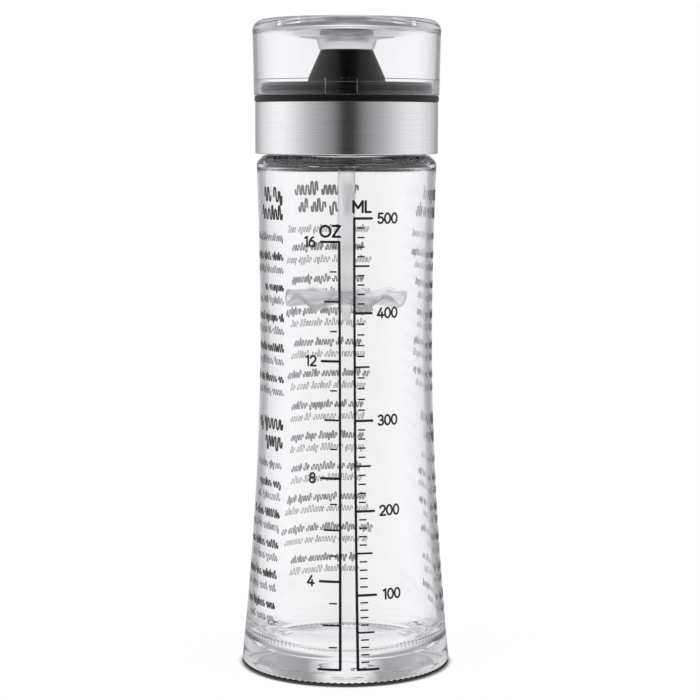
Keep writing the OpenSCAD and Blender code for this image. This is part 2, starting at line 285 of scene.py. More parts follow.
# %% Soft lamps
def soft_lamp(name, place, target, size, watts):
    """A square area lamp at a place, turned to face a target."""
    data = bpy.data.lights.new(name, "AREA")
    data.shape = "SQUARE"
    data.size = size
    data.energy = watts
    lamp = bpy.data.objects.new(name, data)
    bpy.context.collection.objects.link(lamp)
    lamp.location = place
    aim = np.array(target) - np.array(place)
    tilt = math.pi / 2 + math.atan2(aim[2], math.hypot(aim[0], aim[1]))
    turn = math.atan2(aim[1], aim[0]) - math.pi / 2
    lamp.rotation_euler = (tilt, 0, turn)
    lamp.visible_glossy = False
    lamp.visible_transmission = False


MIDDLE = (0, 0, 0.12)
soft_lamp("key_lamp", (-1.0, -0.8, 0.5), MIDDLE, size=0.7, watts=4)
soft_lamp("fill_lamp", (1.1, -0.5, 0.4), MIDDLE, size=0.7, watts=3)

# %% [markdown]
# ## Surfaces from numpy
#
# Nearly every piece of a bottle is turned, as on a lathe: a profile carried round an axis. The
# helpers below make such a profile from lines and arcs, carry it round, and write the whole array
# of points into a mesh at once.

# %% Profile helpers
# How far in from each end of a line its extra point stands
LINE_INSET = 0.25 * MM
# Points nearer than this, in metres, are one point
SAME_POINT = 1e-7


def line(start, end, steps=1):
    """Points on a straight line: start plus (end - start) times t, t from 0 to 1.

    Each end gets one more point a little way in, so that the smooth shading of a round corner next
    to it stops there and doesn't run along the flat wall.
    """
    start, end = np.array(start, float), np.array(end, float)
    t = np.linspace(0, 1, steps + 1)
    inset = LINE_INSET / np.linalg.norm(end - start)
    if inset < 0.4 / steps:
        t = np.sort(np.concatenate([t, [inset, 1 - inset]]))
    return start + (end - start) * t[:, None]


def polyline(*corners):
    """Straight lines from corner to corner."""
    return np.concatenate([line(a, b) for a, b in zip(corners[:-1], corners[1:])])


def arc(centre, radius, start, end, steps=8):
    """Points on a circle: centre plus radius times (cos a, sin a), a from start to end in degrees."""
    a = np.radians(np.linspace(start, end, steps + 1))
    return np.array(centre) + radius * np.stack([np.cos(a), np.sin(a)], axis=1)


def chain(*parts):
    """Parts of a profile end to end, each point that repeats the one before it left out."""
    points = np.concatenate([np.atleast_2d(p) for p in parts])
    gap = np.linalg.norm(np.diff(points, axis=0), axis=1)
    return points[np.concatenate([[True], gap > SAME_POINT])]


# %% From arrays to a mesh
def mesh_from(name, points, quads, triangles=()):
    """A mesh object whose faces point outwards: the signed volume of its faces is made positive."""
    points = np.asarray(points, float)
    quads = np.asarray(quads, int).reshape(-1, 4)
    triangles = np.asarray(triangles, int).reshape(-1, 3)
    all_triangles = np.concatenate([quads[:, [0, 1, 2]], quads[:, [0, 2, 3]], triangles])
    a, b, c = (points[all_triangles[:, i]] for i in range(3))
    volume = np.einsum("ij,ij->i", a, np.cross(b, c)).sum() / 6
    if volume < 0:
        quads = quads[:, ::-1]
        triangles = triangles[:, ::-1]
    mesh = bpy.data.meshes.new(name)
    mesh.vertices.add(len(points))
    mesh.vertices.foreach_set("co", points.ravel())
    corners = np.concatenate([quads.ravel(), triangles.ravel()])
    counts = np.concatenate([np.full(len(quads), 4), np.full(len(triangles), 3)])
    mesh.loops.add(len(corners))
    mesh.loops.foreach_set("vertex_index", corners)
    mesh.polygons.add(len(counts))
    mesh.polygons.foreach_set("loop_start", np.concatenate([[0], np.cumsum(counts)[:-1]]))
    mesh.polygons.foreach_set("loop_total", counts)
    mesh.update(calc_edges=True)
    mesh.validate()
    piece = bpy.data.objects.new(name, mesh)
    bpy.context.collection.objects.link(piece)
    print(f"{name}: {len(points)} points, {len(all_triangles)} triangles, {abs(volume) * 1e6:.2f} cm3")
    return piece


def dress(piece, material, body, replaces=(), crease=32):
    """Gives a piece its material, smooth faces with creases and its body."""
    piece.data.materials.clear()
    piece.data.materials.append(material)
    piece.data.polygons.foreach_set("use_smooth", np.ones(len(piece.data.polygons), bool))
    piece.data.set_sharp_from_angle(angle=math.radians(crease))
    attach(piece, body)
    if replaces:
        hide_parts(*replaces)


# %% A second finish on some faces of a piece
def second_finish(piece, material, chosen):
    """Puts a second material on the faces for which chosen(middles, normals) says yes."""
    piece.data.materials.append(material)
    middles = np.empty(3 * len(piece.data.polygons))
    normals = np.empty_like(middles)
    piece.data.polygons.foreach_get("center", middles)
    piece.data.polygons.foreach_get("normal", normals)
    picked = chosen(middles.reshape(-1, 3), normals.reshape(-1, 3))
    piece.data.polygons.foreach_set("material_index", picked.astype(int))
    print(piece.name, "has", int(picked.sum()), "faces in", material.name)


# %% Turning a profile on a lathe
def even_turn(count):
    """Evenly spaced angles round a full turn, in radians."""
    return np.arange(count) * 2 * np.pi / count


def lathe_points(radius, height, angle):
    """Points at x = r sin a, y = -r cos a and a height, so that angle 0 is the front."""
    return np.stack([radius * np.sin(angle), -radius * np.cos(angle), height + 0 * angle], axis=-1)


def grid_quads(rows, columns, row_steps, column_steps):
    """Four corners of each face between neighbouring rows and columns of points.

    With as many steps as rows or columns, the last one leads back to the first.
    """
    row, column = np.meshgrid(np.arange(row_steps), np.arange(column_steps), indexing="ij")
    next_row, next_column = (row + 1) % rows, (column + 1) % columns
    return np.stack([
        row * columns + column, row * columns + next_column,
        next_row * columns + next_column, next_row * columns + column
    ], axis=2).reshape(-1, 4)


def turned_piece(name, profile, angles, shape=None):
    """Carries a profile of (radius, height) round Z.

    A profile that starts and ends on the axis is closed there by one point each. Any other profile
    is a closed loop. shape(r, z, a) may change the radius and height of every point at once.
    """
    on_axis = profile[0][0] < SAME_POINT and profile[-1][0] < SAME_POINT
    ring = profile[1:-1] if on_axis else profile
    rows, columns = len(ring), len(angles)
    radius = np.repeat(ring[:, :1], columns, axis=1)
    height = np.repeat(ring[:, 1:], columns, axis=1)
    angle = np.repeat(angles[None, :], rows, axis=0)
    if shape:
        radius, height = shape(radius, height, angle)
    points = lathe_points(radius, height, angle).reshape(-1, 3)
    quads = grid_quads(rows, columns, rows - 1 if on_axis else rows, columns)
    if not on_axis:
        return mesh_from(name, points, quads)
    first, last = len(points), len(points) + 1
    points = np.concatenate([points, [[0, 0, profile[0][1]], [0, 0, profile[-1][1]]]])
    here = np.arange(columns)
    onward = (here + 1) % columns
    low = np.stack([np.full(columns, first), onward, here], axis=1)
    end_row = (rows - 1) * columns
    high = np.stack([np.full(columns, last), end_row + here, end_row + onward], axis=1)
    return mesh_from(name, points, quads, np.concatenate([low, high]))


# %% [markdown]
# ## Finishes
#
# Each finish is one function. Numbers that hold all over a surface sit on the shader's own
# sockets. What varies, such as brush lines or the grain of a moulded skin, comes from noise on
# Object coordinates, so it stays on the piece when the piece moves.

# %% Shared pieces of a finish
def principled(tree, **sockets):
    """The main shader with its sockets fed, joined to the material's output."""
    shader = add_node(tree, "ShaderNodeBsdfPrincipled", **sockets)
    add_node(tree, "ShaderNodeOutputMaterial", Surface=shader.outputs[0])
    return shader


def stretched_noise(tree, stretch, detail=2.0, roughness=0.5):
    """Noise on Object coordinates in metres, stretched by a number of waves per metre on each axis."""
    place = tree.nodes.new("ShaderNodeTexCoord").outputs["Object"]
    mapped = add_node(tree, "ShaderNodeMapping", Vector=place, Scale=stretch).outputs[0]
    noise = add_node(
        tree, "ShaderNodeTexNoise", Vector=mapped, Scale=1.0, Detail=detail, Roughness=roughness
    )
    return noise.outputs["Fac"]


def bump(tree, shader, height, distance, strength=1.0):
    """Raises the surface by a height map, distance in metres at full height."""
    raised = add_node(tree, "ShaderNodeBump", Height=height, Strength=strength, Distance=distance)
    feed(tree, shader.inputs["Normal"], raised.outputs[0])


# %% Clear glass and clear plastic
def edge_on_upright(tree):
    """How edge-on an upright wall is seen: facing times (1 - z squared), z the normal's height.

    A level floor or ceiling, which is always seen nearly edge-on from the side, stays near 0.
    """
    edge_on = tree.nodes.new("ShaderNodeLayerWeight").outputs["Facing"]
    outward = tree.nodes.new("ShaderNodeTexCoord").outputs["Normal"]
    upward = add_node(tree, "ShaderNodeSeparateXYZ", Vector=outward).outputs["Z"]
    level = maths(tree, "MULTIPLY", upward, upward)
    return maths(tree, "MULTIPLY", edge_on, maths(tree, "SUBTRACT", 1.0, level))


def clear_finish(name, tint_and_edge_shade, index, ripple):
    """Polished and clear, with painted shade that darkens an upright wall where it is seen edge-on, and a
    faint slow ripple.
    """
    material, tree = new_material(name)
    shader = principled(tree, Roughness=0.0, IOR=index, Transmission_Weight=1.0)
    # Painted shade: the colour of the glass darkens where an upright wall is seen edge-on
    feed(tree, shader.inputs["Base Color"], ramp(tree, edge_on_upright(tree), tint_and_edge_shade))
    bump(tree, shader, stretched_noise(tree, (45, 45, 30), 1.0), ripple)
    return material


# Tint and painted shade by how edge-on the surface is: 0 is face-on, 1 is the outline, painted dark
GLASS_TINT_AND_EDGE_SHADE = [
    (0.0, (0.985, 0.985, 0.99)), (0.3, (0.972, 0.972, 0.982)), (0.5, (0.955, 0.955, 0.968)),
    (0.72, (0.955, 0.955, 0.97)), (0.80, (0.90, 0.90, 0.92)), (0.87, (0.78, 0.78, 0.80)),
    (1.0, (0.42, 0.42, 0.43))
]
LID_TINT_AND_EDGE_SHADE = [
    (0.0, (0.975, 0.977, 0.988)), (0.4, (0.965, 0.967, 0.978)), (0.7, (0.80, 0.80, 0.82)),
    (0.85, (0.60, 0.60, 0.62)), (1.0, (0.35, 0.35, 0.36))
]
GLASS = clear_finish("clear_glass", GLASS_TINT_AND_EDGE_SHADE, 1.5, 0.06 * MM)
ACRYLIC = clear_finish("clear_acrylic", LID_TINT_AND_EDGE_SHADE, 1.49, 0.03 * MM)


# %% Satin black plastic
def satin_plastic(name, colour, roughness, shine):
    """Moulded plastic with a fine spark-eroded grain and slight patches of gloss."""
    material, tree = new_material(name)
    shader = principled(
        tree, Base_Color=(*colour, 1), Roughness=roughness, IOR=1.5, Specular_IOR_Level=shine
    )
    patches = stretched_noise(tree, (60, 60, 60), 3.0)
    gloss = ramp(tree, patches, [(0.3, roughness - 0.05), (0.7, roughness + 0.06)])
    feed(tree, shader.inputs["Roughness"], gloss)
    bump(tree, shader, stretched_noise(tree, (2600, 2600, 2600)), 0.02 * MM, 0.5)
    return material


BLACK = satin_plastic("black_plastic", (0.0012, 0.0012, 0.0013), 0.15, 0.9)
SPOUT_BLACK = satin_plastic("black_spout_plastic", (0.0012, 0.0012, 0.0013), 0.22, 0.15)
EDGE_BLACK = satin_plastic("black_edge_plastic", (0.003, 0.003, 0.003), 0.34, 0.25)
RUBBER = satin_plastic("black_rubber", (0.006, 0.006, 0.006), 0.6, 0.3)


# %% Brushed steel
def brushed_steel():
    """Steel brushed round the sleeve: noise stretched along the ring makes hair-fine level lines."""
    material, tree = new_material("brushed_steel")
    shader = principled(
        tree, Base_Color=(0.86, 0.86, 0.875, 1), Metallic=1.0, Roughness=0.16, Anisotropic=0.75
    )
    tangent = tree.nodes.new("ShaderNodeTangent")
    tangent.direction_type = "RADIAL"
    tangent.axis = "Z"
    feed(tree, shader.inputs["Tangent"], tangent.outputs[0])
    # Lines some 15 mm long and 0.3 mm apart
    lines = stretched_noise(tree, (70, 70, 3600), 4.0, 0.75)
    feed(tree, shader.inputs["Roughness"], ramp(tree, lines, [(0.3, 0.12), (0.7, 0.20)]))
    tone = ramp(tree, lines, [(0.3, (0.83, 0.83, 0.84)), (0.7, (0.96, 0.96, 0.97))])
    feed(tree, shader.inputs["Base Color"], tone)
    bump(tree, shader, lines, 0.004 * MM, 0.6)
    return material


STEEL = brushed_steel()


# %% Frosted and soft plastics
def frosted(name, colour, transmission, roughness, index=1.45):
    """Milky plastic: part of the light passes, scattered by a rough skin with faint clouds in it."""
    material, tree = new_material(name)
    shader = principled(
        tree, Base_Color=(*colour, 1), Roughness=roughness, IOR=index, Transmission_Weight=transmission
    )
    clouds = stretched_noise(tree, (160, 160, 90), 3.0)
    darker = tuple(0.96 * c for c in colour)
    feed(tree, shader.inputs["Base Color"], ramp(tree, clouds, [(0.3, darker), (0.7, colour)]))
    bump(tree, shader, stretched_noise(tree, (1800, 1800, 1800)), 0.03 * MM, 0.5)
    return material


FROSTED = frosted("frosted_plastic", (0.99, 0.985, 1.0), 1.0, 0.5, 1.25)
CLEARER = frosted("frosted_disc_plastic", (0.985, 0.98, 0.995), 1.0, 0.32, 1.13)
SOFT_PLUG = frosted("frosted_silicone", (0.93, 0.925, 0.945), 0.95, 0.55, 1.15)
SEAL = frosted("seal_silicone", (0.80, 0.80, 0.78), 0.0, 0.5)
MOULDED_EDGE = frosted("moulded_edge", (0.85, 0.85, 0.87), 0.9, 0.35)


# %% Printed ink
def ink(name, colour):
    """Screen-printed enamel: a thin, slightly uneven coat with a soft gloss."""
    material, tree = new_material(name)
    shader = principled(tree, Base_Color=(*colour, 1), Roughness=0.4, IOR=1.5)
    cover = stretched_noise(tree, (900, 900, 900))
    lighter = tuple(c + 0.02 for c in colour)
    feed(tree, shader.inputs["Base Color"], ramp(tree, cover, [(0.35, colour), (0.75, lighter)]))
    return material


INK_BLACK = ink("ink_black", (0.004, 0.004, 0.005))
INK_GREY = ink("ink_grey", (0.09, 0.09, 0.095))
INK_BACK = ink("ink_seen_through_glass", (0.85, 0.85, 0.86))
INK_GREY_BACK = ink("grey_ink_seen_through_glass", (0.92, 0.92, 0.93))
print("finishes:", len(bpy.data.materials))

# %% [markdown]
# ## The glass bottle
#
# On the real bottle one skin of glass runs from the push-up under the base, up the flared outside,
# over the lip and down the inside. So it is one closed profile, turned once. Its outside follows a
# power curve below the waist and a parabola above it. The lathe can also raise the screw thread and
# the row of small teeth that glassworks press into the ring a bottle stands on.

# %% Outline of the glass
def glass_radius(z):
    """Outside radius at a height: a power curve of the distance below the waist, a parabola above it."""
    below = np.clip((WAIST_Z - z) / WAIST_Z, 0, None)
    above = np.clip((z - WAIST_Z) / (SHOULDER_Z - EDGE_ROUND - WAIST_Z), 0, None)
    return WAIST_R + (BASE_R - WAIST_R) * below ** FLARE_POWER + (SHOULDER_R - WAIST_R) * above ** 2


def glass_side(low, high, inset, steps):
    """The glass wall between two heights, set in from its outside."""
    z = np.linspace(low, high, steps + 1)
    return np.stack([glass_radius(z) - inset, z], axis=1)


def low_dome(radius, z, rise, outward, steps=10):
    """A shallow parabola: z + rise (1 - (r / radius) squared), walked outward or inward."""
    r = np.linspace(0, radius, steps + 1)
    points = np.stack([r, z + rise * (1 - (r / radius) ** 2)], axis=1)
    return points if outward else points[::-1]


INNER_HEEL = 12 * MM
INNER_SHOULDER = 3 * MM
LIP_ROUND = 1 * MM
MOUTH_ROUND = 2 * MM
heel_r = glass_radius(HEEL_ROUND)
inner_heel_z = FLOOR_T + INNER_HEEL
inner_heel_r = glass_radius(inner_heel_z) - GLASS_WALL
inner_top_z = SHOULDER_Z - GLASS_WALL
inner_top_r = glass_radius(inner_top_z - INNER_SHOULDER) - GLASS_WALL
floor_r = inner_heel_r - INNER_HEEL

glass_profile = chain(
    low_dome(PUSH_UP_R, 0, PUSH_UP_H, True),
    line((PUSH_UP_R, 0), (heel_r - HEEL_ROUND, 0), 8),
    arc((heel_r - HEEL_ROUND, HEEL_ROUND), HEEL_ROUND, -90, 0, 8),
    glass_side(HEEL_ROUND + MM, SHOULDER_Z - EDGE_ROUND, 0, 52),
    arc((SHOULDER_R - EDGE_ROUND, SHOULDER_Z - EDGE_ROUND), EDGE_ROUND, 4, 90, 8),
    line((NECK_R, SHOULDER_Z), (NECK_R, LIP_Z - LIP_ROUND), 42),
    arc((NECK_R - LIP_ROUND, LIP_Z - LIP_ROUND), LIP_ROUND, 0, 90, 4),
    arc((MOUTH_R + LIP_ROUND, LIP_Z - LIP_ROUND), LIP_ROUND, 90, 180, 4),
    arc((MOUTH_R + MOUTH_ROUND, inner_top_z + MOUTH_ROUND), MOUTH_ROUND, 180, 262, 6),
    arc((inner_top_r - INNER_SHOULDER, inner_top_z - INNER_SHOULDER), INNER_SHOULDER, 88, 0, 6),
    glass_side(inner_top_z - INNER_SHOULDER - MM, inner_heel_z + MM, GLASS_WALL, 30),
    arc((floor_r, inner_heel_z), INNER_HEEL, 0, -90, 8),
    low_dome(floor_r - MM, FLOOR_T, PUSH_UP_H, False)
)
print("glass profile points:", len(glass_profile))


# %% Thread and standing teeth
THREAD_LOW = SHOULDER_Z + 4 * MM
THREAD_HIGH = LIP_Z - 3 * MM
THREAD_HALF_W = 1.15 * MM
TOOTH_COUNT = 96
TOOTH_H = 0.55 * MM
# The teeth's middle lies this far in from the heel, and they run this far to each side of it
TOOTH_IN = 1.9 * MM
TOOTH_L = 1.5 * MM


def thread_height(z, angle):
    """A right-handed ridge: its middle climbs one pitch a turn, its flanks are a raised cosine."""
    phase = (z - THREAD_LOW - THREAD_PITCH * angle / (2 * np.pi)) / THREAD_PITCH
    off = np.abs(phase - np.round(phase)) * THREAD_PITCH
    ridge = 0.5 + 0.5 * np.cos(np.pi * np.clip(off / THREAD_HALF_W, 0, 1))
    start = np.clip((z - THREAD_LOW) / MM, 0, 1)
    end = np.clip((THREAD_HIGH - z) / MM, 0, 1)
    return THREAD_H * ridge * start * end


def glass_shape(radius, height, angle):
    """Adds the thread to the outside of the neck, and cuts gaps between teeth into the standing ring."""
    neck = np.isclose(radius, NECK_R)
    radius = radius + np.where(neck, thread_height(height, angle), 0)
    ring = np.exp(-(((radius - heel_r + TOOTH_IN) / TOOTH_L) ** 2)) * (height < HEEL_ROUND)
    gaps = 0.5 - 0.5 * np.cos(TOOTH_COUNT * angle)
    return radius, height + TOOTH_H * ring * gaps


glass = turned_piece("glass_body", glass_profile, even_turn(4 * TOOTH_COUNT), glass_shape)
dress(glass, GLASS, "bottle", ["glass_bottle"], 40)

# %% [markdown]
# ## The steel collar
#
# A thin sleeve, pressed over the cap's skirt. Its foot is rolled in, which gives the soft bright
# edge at the bottom, and its top butts against the black flange.

# %% Turn the collar
COLLAR_T = 0.5 * MM
COLLAR_ROLL = 0.5 * MM
COLLAR_TURN_IN = 1.1 * MM
COLLAR_EDGE = 0.15 * MM
ROUND_TURN = 256

collar_in = COLLAR_R - COLLAR_T
collar_profile = chain(
    [(collar_in - COLLAR_TURN_IN, COLLAR_Z + COLLAR_T), (collar_in - COLLAR_TURN_IN, COLLAR_Z)],
    arc((COLLAR_R - COLLAR_ROLL, COLLAR_Z + COLLAR_ROLL), COLLAR_ROLL, -90, 0, 6),
    line((COLLAR_R, COLLAR_Z + 2 * MM), (COLLAR_R, COLLAR_TOP_Z - 2 * MM), 6),
    arc((COLLAR_R - COLLAR_EDGE, COLLAR_TOP_Z - COLLAR_EDGE), COLLAR_EDGE, 0, 90, 3),
    [(collar_in, COLLAR_TOP_Z), (collar_in, COLLAR_Z + COLLAR_T)]
)
collar = turned_piece("collar_sleeve", collar_profile, even_turn(ROUND_TURN))
dress(collar, STEEL, "cap", ["steel_collar"])

# %% [markdown]
# ## The black cap
#
# Skirt, flange and spigot are one moulding. The flange's rounded edge is the thin black ring above
# the steel, and it is duller than the rest. The groove near the top of the spigot holds the friction
# ring, and inside the skirt runs the thread that meets the glass one.

# %% Sizes of the cap
CAP_BORE_R = 31.3 * MM
SKIRT_R = COLLAR_R - COLLAR_T - 0.05 * MM
SKIRT_Z = COLLAR_Z + 0.55 * MM
FLANGE_ROUND = 0.8 * MM
SPIGOT_R = 31.9 * MM
SPIGOT_ROUND = 0.6 * MM
GROOVE_Z = SPIGOT_Z - 2.3 * MM
GROOVE_HALF = 1.05 * MM
GROOVE_R = 30.2 * MM
THROAT_R = MOUTH_R - 0.3 * MM
STEP_R = THROAT_R - 1.2 * MM
HOLDER_TOP_Z = DECK_Z + 3 * MM
TOP_PLATE_T = 2.2 * MM
SLEEVE_R = 13 * MM
SLEEVE_GAP = 0.05 * MM
SEAL_T = 0.8 * MM
print(f"cap from {SKIRT_Z:.4f} to {SPIGOT_Z:.4f}, spigot radius {SPIGOT_R:.4f}")

# %% The cap's outline
groove_low_z, groove_high_z = GROOVE_Z - GROOVE_HALF, GROOVE_Z + GROOVE_HALF
seal_seat_z = SPIGOT_Z - SEAL_T
plate_z = SPIGOT_Z - TOP_PLATE_T
hole_r = SLEEVE_R + SLEEVE_GAP
cap_profile = chain(
    [(CAP_BORE_R, SKIRT_Z), (SKIRT_R, SKIRT_Z), (SKIRT_R, COLLAR_TOP_Z)],
    arc((FLANGE_R - FLANGE_ROUND, COLLAR_TOP_Z + FLANGE_ROUND), FLANGE_ROUND, -90, 0, 6),
    arc((FLANGE_R - FLANGE_ROUND, FLANGE_Z - FLANGE_ROUND), FLANGE_ROUND, 0, 90, 6),
    [
        (SPIGOT_R, FLANGE_Z), (SPIGOT_R, groove_low_z), (GROOVE_R, groove_low_z),
        (GROOVE_R, groove_high_z), (SPIGOT_R, groove_high_z)
    ],
    arc((SPIGOT_R - SPIGOT_ROUND, SPIGOT_Z - SPIGOT_ROUND), SPIGOT_ROUND, 0, 90, 5),
    [
        (SPOUT_FOOT_R, SPIGOT_Z), (SPOUT_FOOT_R, seal_seat_z), (hole_r, seal_seat_z),
        (hole_r, plate_z), (STEP_R, plate_z), (STEP_R, HOLDER_TOP_Z), (THROAT_R, HOLDER_TOP_Z),
        (THROAT_R, DECK_Z), (CAP_BORE_R, DECK_Z)
    ],
    line((CAP_BORE_R, DECK_Z), (CAP_BORE_R, SKIRT_Z), 50)[1:-1]
)
print("cap profile points:", len(cap_profile))

# %% Turn the cap, with its thread
# The bore is plain this near its ends, and its ridge is this share of the glass one's height
PLAIN_END = 0.2 * MM
RIDGE_SHARE = 0.85


def cap_thread(radius, height, angle):
    """Lowers the bore where the glass thread has its valleys, so the two ridges run between each other."""
    bore = np.isclose(radius, CAP_BORE_R)
    bore = bore & (height > SKIRT_Z + PLAIN_END) & (height < DECK_Z - PLAIN_END)
    ridge = thread_height(height - THREAD_PITCH / 2, angle)
    return radius - np.where(bore, RIDGE_SHARE * ridge, 0), height


cap = turned_piece("cap_shell", cap_profile, even_turn(ROUND_TURN), cap_thread)
dress(cap, BLACK, "cap", ["screw_cap"])

# %% A duller edge on the flange
# Between these two depths under the flange's top
EDGE_DEPTHS = (0.1 * MM, 3.1 * MM)


def on_the_flange(middles, normals):
    """Faces whose middle is at the height of the flange's edge."""
    depth = FLANGE_Z - middles[:, 2]
    return (depth > EDGE_DEPTHS[0]) & (depth < EDGE_DEPTHS[1])


second_finish(cap, EDGE_BLACK, on_the_flange)


# %% The locating key on the spigot
KEY_W = 10.6 * MM
KEY_H = 1.2 * MM
KEY_OUT = 0.6 * MM
KEY_TURN = math.radians(-3.3)
KEY_ROUND = 0.25 * MM
# The key runs on this far into the spigot and into the flange
KEY_SUNK = 0.5 * MM
KEY_FOOT = 0.1 * MM

key_half = KEY_W / 2 / SPIGOT_R
key_angles = KEY_TURN + np.linspace(-key_half, key_half, 25)
key_section = chain(
    [(SPIGOT_R - KEY_SUNK, FLANGE_Z - KEY_FOOT), (SPIGOT_R + KEY_OUT, FLANGE_Z - KEY_FOOT)],
    arc((SPIGOT_R + KEY_OUT - KEY_ROUND, FLANGE_Z + KEY_H - KEY_ROUND), KEY_ROUND, 0, 90, 4),
    [(SPIGOT_R - KEY_SUNK, FLANGE_Z + KEY_H)]
)


def swept_arc(name, section, angles):
    """A section carried along part of a turn, with a flat face at each end."""
    rows, columns = len(section), len(angles)
    points = lathe_points(section[:, :1], section[:, 1:], angles).reshape(-1, 3)
    quads = grid_quads(rows, columns, rows, columns - 1)
    fan = np.stack([np.zeros(rows - 2, int), np.arange(1, rows - 1), np.arange(2, rows)], axis=1)
    near, far = fan * columns, fan[:, ::-1] * columns + columns - 1
    return mesh_from(name, points, quads, np.concatenate([near, far]))


key = swept_arc("locating_key", key_section, key_angles)
dress(key, BLACK, "cap")

# %% [markdown]
# ## The pour spout
#
# A hollow cone with a small rounded rim, so that dressing lets go of it cleanly. It has a thin
# flange on the cap's top plate and a sleeve that snaps through it.

# %% Turn the spout
SPOUT_TOP_R = 9.65 * MM
POUR_R = 5.2 * MM
SPOUT_WALL = 1.7 * MM
SPOUT_FLANGE_T = 0.7 * MM
SPOUT_RIM = 0.6 * MM
RIM_OUT = 0.25 * MM
SPOUT_EDGE = 0.15 * MM
SNAP_Z = plate_z - SLEEVE_GAP
SNAP_H = 1.2 * MM
SNAP_OUT = 0.4 * MM
flange_top_z = SPIGOT_Z + SPOUT_FLANGE_T
lean = math.degrees(math.atan((SPOUT_FOOT_R - SPOUT_TOP_R) / (SPOUT_Z - SPIGOT_Z - SPOUT_FLANGE_T)))
sleeve_in = SLEEVE_R - SPOUT_WALL

spout_profile = chain(
    [
        (sleeve_in, SNAP_Z - SNAP_H), (SLEEVE_R, SNAP_Z - SNAP_H), (SLEEVE_R + SNAP_OUT, SNAP_Z),
        (SLEEVE_R, SNAP_Z), (SLEEVE_R, SPIGOT_Z), (SPOUT_FOOT_R, SPIGOT_Z)
    ],
    arc((SPOUT_FOOT_R - SPOUT_EDGE, flange_top_z - SPOUT_EDGE), SPOUT_EDGE, 0, 90, 3),
    arc((SPOUT_TOP_R - SPOUT_RIM + RIM_OUT, SPOUT_Z - SPOUT_RIM), SPOUT_RIM, lean, 90, 6),
    arc((POUR_R + SPOUT_RIM, SPOUT_Z - SPOUT_RIM), SPOUT_RIM, 90, 180, 6),
    [
        (POUR_R, SPOUT_Z - SPOUT_WALL), (SPOUT_TOP_R - SPOUT_WALL, SPOUT_Z - SPOUT_WALL),
        (sleeve_in, flange_top_z)
    ]
)
spout = turned_piece("spout", spout_profile, even_turn(192))
dress(spout, SPOUT_BLACK, "cap", ["spout_cone"])

# %% [markdown]
# ## The friction ring
#
# A round rubber ring in the spigot's groove grips the clear lid.

# %% Turn the friction ring
RING_T = 1.9 * MM
ring_middle = reach("lid_o_ring") - RING_T / 2
ring_section = arc((ring_middle, GROOVE_Z), RING_T / 2, 0, 360, 16)[:-1]
friction_ring = turned_piece("friction_ring_rubber", ring_section, even_turn(192))
dress(friction_ring, RUBBER, "friction_ring", ["lid_o_ring"])

# %% [markdown]
# ## The clear lid
#
# A thick clear cup, upside down. Its foot band is thicker than its wall, with a pocket for the
# locating key. Its top grows thicker towards the middle, where a recess holds the soft plug's disc.
# The pocket has sloping sides with a matt skin, which catch the light as two thin lines, so the
# lathe gets a column of points at the foot and at the head of each slope.

# %% Sizes of the lid
LID_DRAFT = 0.5 * MM
LID_WALL = 1.5 * MM
LID_ROUND = 4.4 * MM
DOME_H = 1.4 * MM
LID_EDGE_T = 4.1 * MM
BAND_H = 5.8 * MM
BAND_R = SPIGOT_R + 0.35 * MM
BOSS_R = 7 * MM
BOSS_H = 3.4 * MM
PLUG_DISC_R = reach("spout_plug")
DISC_RIM_T = 1.85 * MM
RECESS_LIP = 0.4 * MM
POCKET_OUT = 0.65 * MM
INNER_ROUND = 1.6 * MM
LID_FOOT_ROUND = 0.3 * MM
LEDGE_EDGE = 0.2 * MM
# Room for the key in its pocket, and the width of the pocket's slopes
KEY_GAP = 0.3 * MM
SLOPE_W = 0.35 * MM
print(f"lid from {FLANGE_Z:.4f} to {LID_TOP_Z:.4f}, foot band radius {BAND_R:.4f}")

# %% The lid's outline
lid_foot_r = LID_TOP_R - LID_DRAFT
lid_edge_z = LID_TOP_Z - DOME_H
ledge_z = FLANGE_Z + BAND_H
inner_top = LID_TOP_R - LID_WALL
inner_foot = lid_foot_r - LID_WALL
ceiling_edge = lid_edge_z - LID_EDGE_T
recess_r = PLUG_DISC_R + 0.05 * MM
boss_z = CEILING_Z - BOSS_H
disc_low_z = CEILING_Z - DISC_RIM_T
recess_lip_z = disc_low_z + RECESS_LIP
lid_profile = chain(
    polyline(
        (0, boss_z), (BOSS_R, boss_z), (BOSS_R, CEILING_Z), (recess_r, CEILING_Z),
        (recess_r, recess_lip_z)
    ),
    arc((recess_r + RECESS_LIP, recess_lip_z), RECESS_LIP, 180, 280, 8),
    arc((inner_top - INNER_ROUND, ceiling_edge - INNER_ROUND), INNER_ROUND, 96, 0, 8),
    line((inner_top - 0.03 * MM, ceiling_edge - 2 * MM), (inner_foot, ledge_z), 4),
    line((inner_foot, ledge_z), (BAND_R + LEDGE_EDGE, ledge_z)),
    line((BAND_R, ledge_z - LEDGE_EDGE), (BAND_R, FLANGE_Z + LID_FOOT_ROUND), 4),
    arc((lid_foot_r - LID_FOOT_ROUND, FLANGE_Z + LID_FOOT_ROUND), LID_FOOT_ROUND, -90, 0, 4),
    line((lid_foot_r + 0.01 * MM, FLANGE_Z + 0.6 * MM), (LID_TOP_R, lid_edge_z - LID_ROUND), 6),
    arc((LID_TOP_R - LID_ROUND, lid_edge_z - LID_ROUND), LID_ROUND, 2, 86, 16),
    low_dome(LID_TOP_R - LID_ROUND - 0.4 * MM, lid_edge_z, DOME_H, False, 20)
)
print("lid profile points:", len(lid_profile))

# %% Turn the lid, with the key's pocket
# Points of the foot band's inside lie this near its radius
BAND_REACH = 0.31 * MM
# Half the pocket's width, and the width of each of its slopes, as angles
pocket_half = (KEY_W / 2 + KEY_GAP) / BAND_R
pocket_slope = SLOPE_W / BAND_R
slope_ends = pocket_half + np.array([-0.5, 0.5]) * pocket_slope
lid_angles = np.concatenate([even_turn(ROUND_TURN), KEY_TURN + slope_ends, KEY_TURN - slope_ends])
lid_angles = np.sort(np.mod(lid_angles, 2 * np.pi))


